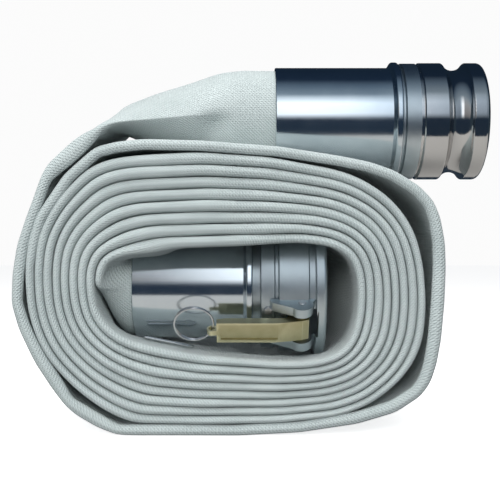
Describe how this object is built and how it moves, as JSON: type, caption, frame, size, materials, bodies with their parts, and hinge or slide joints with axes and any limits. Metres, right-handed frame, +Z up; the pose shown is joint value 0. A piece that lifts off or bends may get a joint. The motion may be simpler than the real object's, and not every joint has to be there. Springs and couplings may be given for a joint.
{
  "type": "rolled fire hose",
  "caption": "Flat canvas fire hose rolled on edge, with a cam groove adapter on its outer end and a cam lever coupler in its core.",
  "frame": {"origin": "on the standing surface, under the middle of the whole object's box", "axes": "+X along both couplings towards the adapter's open face, +Y across the roll's width, +Z up from the surface that the roll stands on"},
  "size_m": [0.3549, 0.1278, 0.2837],
  "materials": {
    "hose": "white woven polyester jacket, matt",
    "lining": "black nitrile lining",
    "adapter": "turned and polished stainless steel",
    "ferrule": "bright zinc plated steel sleeve",
    "coupler": "satin cast aluminium",
    "gasket": "black nitrile ring",
    "lever": "cast brass, dull with bright rims",
    "pin": "stainless pin, turned",
    "ring": "bright steel wire ring",
    "clip": "bright steel wire"
  },
  "bodies": {
    "hose_and_couplings": {"hose_roll": "hose", "hose_outer_turn": "hose", "hose_outer_neck": "hose", "hose_inner_neck": "hose", "liner_end_outer": "lining", "liner_end_inner": "lining", "adapter_body": "adapter", "adapter_ferrule": "ferrule", "coupler_body": "coupler", "coupler_ferrule": "ferrule", "coupler_gasket": "gasket", "collar_screw": "pin", "arm_pin_front": "pin", "arm_pin_rear": "pin", "safety_clip": "clip"},
    "front_lever": {"cam_arm_front": "lever"},
    "rear_lever": {"cam_arm_rear": "lever"},
    "front_ring": {"finger_ring_front": "ring"},
    "rear_ring": {"finger_ring_rear": "ring"}
  },
  "joints": [
    {"name": "front_lever_hinge", "type": "hinge", "parent": "hose_and_couplings", "child": "front_lever", "pos_m": [0.036, -0.04414, 0.08088], "axis": [0, -0.515, 0.8572], "range_deg": [0, 100]},
    {"name": "front_ring_hinge", "type": "hinge", "parent": "front_lever", "child": "front_ring", "pos_m": [-0.0306, -0.05229, 0.07598], "axis": [0, -0.515, 0.8572], "range_deg": [-15, 90]},
    {"name": "rear_lever_hinge", "type": "hinge", "parent": "hose_and_couplings", "child": "rear_lever", "pos_m": [0.036, 0.04414, 0.13392], "axis": [0, 0.515, -0.8572], "range_deg": [0, 100]},
    {"name": "rear_ring_hinge", "type": "hinge", "parent": "rear_lever", "child": "rear_ring", "pos_m": [-0.0306, 0.05229, 0.13882], "axis": [0, 0.515, -0.8572], "range_deg": [-15, 90]}
  ]
}
